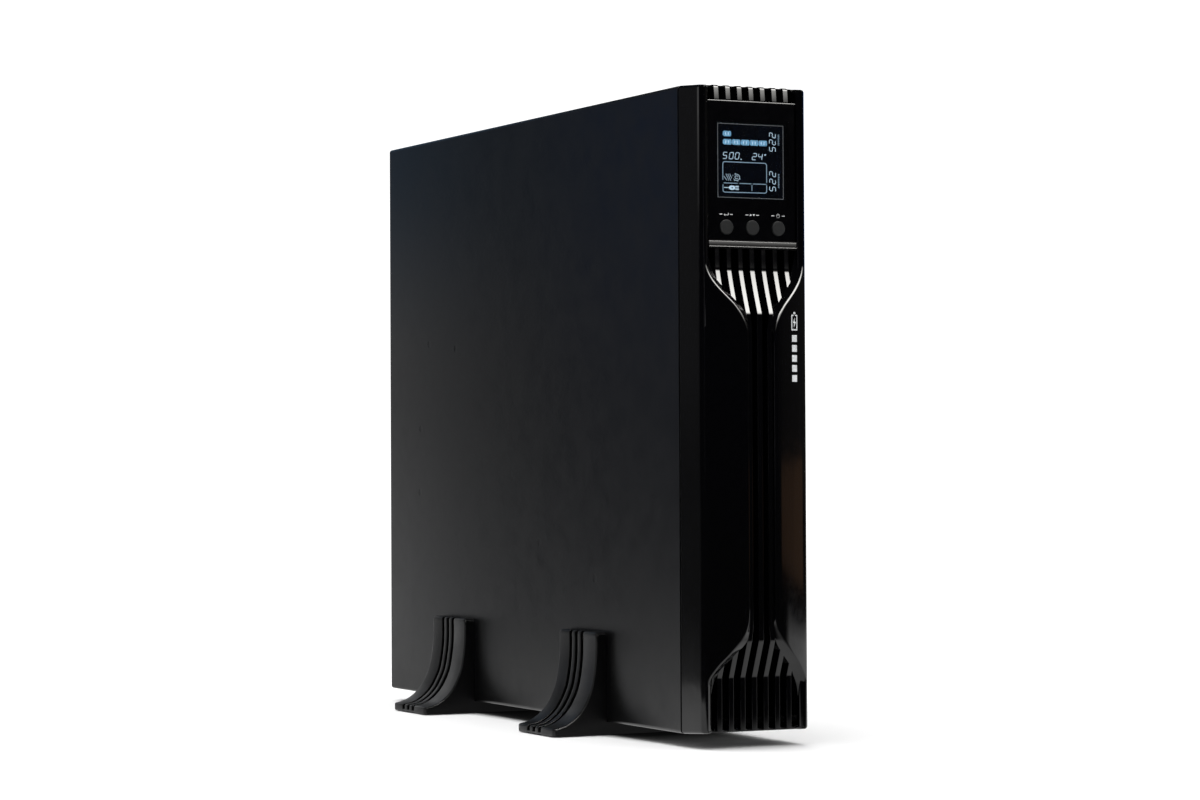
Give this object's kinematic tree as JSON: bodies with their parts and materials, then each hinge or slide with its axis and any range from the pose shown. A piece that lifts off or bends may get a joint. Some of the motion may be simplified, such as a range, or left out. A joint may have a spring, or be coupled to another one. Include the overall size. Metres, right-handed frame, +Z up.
{
  "type": "uninterruptible power supply",
  "caption": "Tower-standing rack-convertible uninterruptible power supply with a gloss black vented bezel, display, steel case and moulded stand feet",
  "frame": {"origin": "centre of the footprint on the floor, under the stand feet", "axes": "+X across the narrow width, to the right of a viewer facing the front; +Y from the front bezel to the rear panel; +Z up"},
  "size_m": [0.169, 0.5404, 0.4495],
  "materials": {
    "case_paint": "satin black powder coat",
    "zinc_sheet": "galvanised sheet",
    "bezel_gloss": "gloss black moulded plastic",
    "stud_plastic": "black nylon",
    "socket_plastic": "white nylon",
    "clear_window": "smoked clear window",
    "lcd_glass": "dark lcd with pale blue segments",
    "board_green": "solder resist",
    "button_satin": "satin dark grey",
    "ribbon_grey": "ribbon cable",
    "battery_case": "moulded battery case",
    "tin_plate": "tinned tab",
    "lead_red": "insulated lead",
    "connector_grey": "grey connector housing",
    "film": "insulating film",
    "plated_steel": "zinc plated",
    "heatsink_alu": "extruded aluminium",
    "epoxy_black": "moulded epoxy",
    "cap_sleeve": "shrink sleeve",
    "ferrite": "ferrite and tape",
    "copper_wound": "enamelled copper winding",
    "relay_case": "relay case",
    "fan_plastic": "glass filled plastic",
    "guard_wire": "chromed wire",
    "outlet_plastic": "outlet moulding",
    "terminal_green": "terminal block",
    "breaker_red": "reset button",
    "screw_black": "black zinc screw",
    "foot_plastic": "textured black plastic",
    "pad_rubber": "rubber pad"
  },
  "bodies": {
    "chassis": {"battery_blocks": "battery_case", "battery_connector": "connector_grey", "battery_door": "zinc_sheet", "battery_terminals": "tin_plate", "battery_tray": "zinc_sheet", "board_standoffs": "plated_steel", "breaker_body": "outlet_plastic", "chassis_tray": "case_paint", "clinch_nuts": "plated_steel", "comm_board": "board_green", "control_board": "board_green", "cover_screws": "screw_black", "dc_capacitors": "cap_sleeve", "display_cable": "ribbon_grey", "display_housing": "bezel_gloss", "display_window": "clear_window", "divider_panel": "zinc_sheet", "external_battery_socket": "connector_grey", "fan_frame_lower": "fan_plastic", "fan_frame_upper": "fan_plastic", "fan_guards": "guard_wire", "foot_pads": "pad_rubber", "front_plate": "zinc_sheet", "ground_stud": "plated_steel", "heatsink_lower": "heatsink_alu", "heatsink_upper": "heatsink_alu", "inductors": "copper_wound", "inlet_filter": "zinc_sheet", "insulating_sheet": "film", "lcd_module": "lcd_glass", "main_board": "board_green", "network_ports": "plated_steel", "outlet_bank_left": "outlet_plastic", "outlet_bank_right": "outlet_plastic", "pan_screws": "screw_black", "power_inlet": "outlet_plastic", "power_leads": "lead_red", "power_transistors": "epoxy_black", "rear_panel": "case_paint", "relays": "relay_case", "serial_port": "plated_steel", "side_cover": "case_paint", "slot_cover": "case_paint", "stand_foot_front_left": "foot_plastic", "stand_foot_front_right": "foot_plastic", "stand_foot_rear_left": "foot_plastic", "stand_foot_rear_right": "foot_plastic", "stop_terminal": "terminal_green", "stud_sockets": "socket_plastic", "tact_switches": "button_satin", "transformer": "ferrite", "usb_port": "plated_steel"},
    "bezel_body": {"front_bezel": "bezel_gloss", "bezel_studs": "stud_plastic"},
    "enter_body": {"button_enter": "button_satin"},
    "select_body": {"button_select": "button_satin"},
    "power_body": {"button_power": "button_satin"},
    "rotor_upper_body": {"fan_rotor_upper": "fan_plastic"},
    "rotor_lower_body": {"fan_rotor_lower": "fan_plastic"},
    "breaker_button_body": {"breaker_button": "breaker_red"}
  },
  "joints": [
    {"name": "bezel_pull", "type": "slide", "parent": "chassis", "child": "bezel_body", "axis": [0, -1, 0], "range_m": [0, 0.06]},
    {"name": "enter_press", "type": "slide", "parent": "chassis", "child": "enter_body", "axis": [0, 1, 0], "range_m": [0, 0.0008], "stiffness_N_per_m": 800},
    {"name": "select_press", "type": "slide", "parent": "chassis", "child": "select_body", "axis": [0, 1, 0], "range_m": [0, 0.0008], "stiffness_N_per_m": 800},
    {"name": "power_press", "type": "slide", "parent": "chassis", "child": "power_body", "axis": [0, 1, 0], "range_m": [0, 0.0008], "stiffness_N_per_m": 800},
    {"name": "fan_upper_spin", "type": "hinge", "parent": "chassis", "child": "rotor_upper_body", "pos_m": [0, 0.2543, 0.405], "axis": [0, 1, 0], "continuous": true},
    {"name": "fan_lower_spin", "type": "hinge", "parent": "chassis", "child": "rotor_lower_body", "pos_m": [0, 0.2543, 0.322], "axis": [0, 1, 0], "continuous": true},
    {"name": "breaker_reset", "type": "slide", "parent": "chassis", "child": "breaker_button_body", "axis": [0, 1, 0], "range_m": [0, 0.003]}
  ]
}
